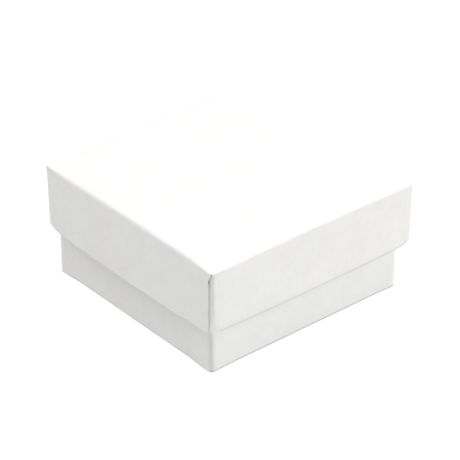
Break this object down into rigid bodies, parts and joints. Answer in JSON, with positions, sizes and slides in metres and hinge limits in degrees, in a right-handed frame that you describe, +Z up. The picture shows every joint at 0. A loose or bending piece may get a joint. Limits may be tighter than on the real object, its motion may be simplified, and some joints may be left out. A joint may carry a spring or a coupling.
{
  "type": "jewelry gift box",
  "caption": "Small square white jewelry gift box: a wrapped rigid lid lifts off a taller wrapped base tray that holds a slitted velvet foam insert.",
  "frame": {"origin": "middle of the face that the closed box stands on", "axes": "+Z up, through the lid's top; the front wall, whose paper overlaps the corners as the back wall's does, faces -Y; +X is to the right"},
  "size_m": [0.065, 0.0654, 0.0303],
  "materials": {
    "wrapping_paper": "matte",
    "lining_paper": "matte",
    "stay_tape": "satin",
    "greyboard": "matte",
    "backing_card": "matte",
    "foam": "matte",
    "velvet": "matte"
  },
  "bodies": {
    "base": {"base_board": "greyboard", "base_lining": "lining_paper", "base_wrap": "wrapping_paper", "base_corner_stay_back_right": "stay_tape", "base_corner_stay_back_left": "stay_tape", "base_corner_stay_front_right": "stay_tape", "base_corner_stay_front_left": "stay_tape"},
    "lid": {"lid_board": "greyboard", "lid_lining": "lining_paper", "lid_wrap": "wrapping_paper", "lid_corner_stay_back_right": "stay_tape", "lid_corner_stay_back_left": "stay_tape", "lid_corner_stay_front_right": "stay_tape", "lid_corner_stay_front_left": "stay_tape"},
    "insert": {"insert_card": "backing_card", "insert_foam": "foam", "insert_cover": "velvet"}
  },
  "joints": [
    {"name": "lid_lift", "type": "slide", "parent": "base", "child": "lid", "axis": [0, 0, 1], "range_m": [0, 0.06]},
    {"name": "insert_lift", "type": "slide", "parent": "base", "child": "insert", "axis": [0, 0, 1], "range_m": [0, 0.0085]}
  ]
}
